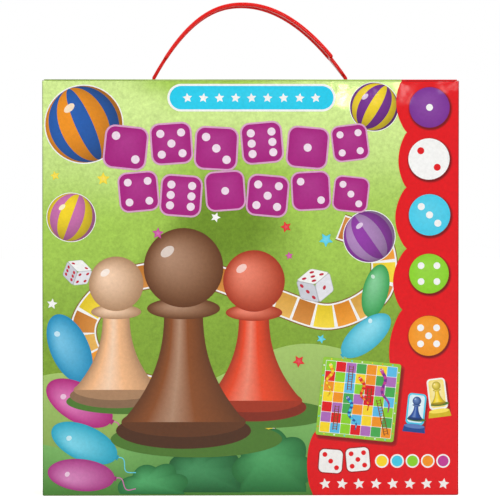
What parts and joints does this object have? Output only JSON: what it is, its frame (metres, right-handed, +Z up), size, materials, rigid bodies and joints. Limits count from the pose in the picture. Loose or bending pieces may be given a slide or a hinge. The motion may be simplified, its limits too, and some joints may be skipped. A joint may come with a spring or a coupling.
{
  "type": "boxed snakes and ladders game",
  "caption": "Flat square carry box with a hinged front lid and a moulded handle, holding a snakes and ladders board, player cards, counters and a die.",
  "frame": {"origin": "on the ground, under the middle of the box", "axes": "+Z up, +X to the right of a viewer who faces the lid, and the lid looks along -Y"},
  "size_m": [0.26, 0.045, 0.3094],
  "materials": {
    "carton_print": "printed and varnished thin board, yellow-green ground",
    "carton_white": "bare white inner face of the carton board",
    "handle_red": "glossy red moulded polypropylene",
    "board_print": "printed and varnished thick grey board",
    "leaflet_paper": "plain printing paper",
    "insert_card": "bare white folding card",
    "card_red": "printed and varnished punched card, red",
    "card_yellow": "printed and varnished punched card, yellow",
    "card_green": "printed and varnished punched card, green",
    "card_blue": "printed and varnished punched card, light blue",
    "die_white": "polished white plastic, pips filled with black"
  },
  "bodies": {
    "box": {"carton_tray": "carton_print", "side_roll_left": "carton_white", "side_roll_right": "carton_white", "handle_pad": "carton_white", "game_board": "board_print", "rules_leaflet": "leaflet_paper", "insert_tray": "insert_card", "shelf_lower": "insert_card", "shelf_upper": "insert_card", "player_card_red": "card_red", "player_card_yellow": "card_yellow", "player_card_green": "card_green", "player_card_blue": "card_blue", "card_foot_red": "card_red", "card_foot_yellow": "card_yellow", "card_foot_green": "card_green", "card_foot_blue": "card_blue", "counters_red": "card_red", "counters_yellow": "card_yellow", "counters_green": "card_green", "counters_blue": "card_blue", "die": "die_white"},
    "lid": {"lid_panel": "carton_print"},
    "flap": {"tuck_flap": "carton_white"},
    "handle": {"handle": "handle_red"}
  },
  "joints": [
    {"name": "lid_hinge", "type": "hinge", "parent": "box", "child": "lid", "pos_m": [0, -0.0217, 0.0008], "axis": [1, 0, 0], "range_deg": [0, 90]},
    {"name": "tuck_flap_hinge", "type": "hinge", "parent": "lid", "child": "flap", "pos_m": [0, -0.0217, 0.2581], "axis": [1, 0, 0], "range_deg": [0, 30]},
    {"name": "handle_swing", "type": "hinge", "parent": "box", "child": "handle", "pos_m": [0, 0, 0.25675], "axis": [1, 0, 0], "range_deg": [-45, 45]}
  ],
  "couplings": [
    {"joint": "tuck_flap_hinge", "follows": "lid_hinge", "ratio": 0.3333}
  ]
}
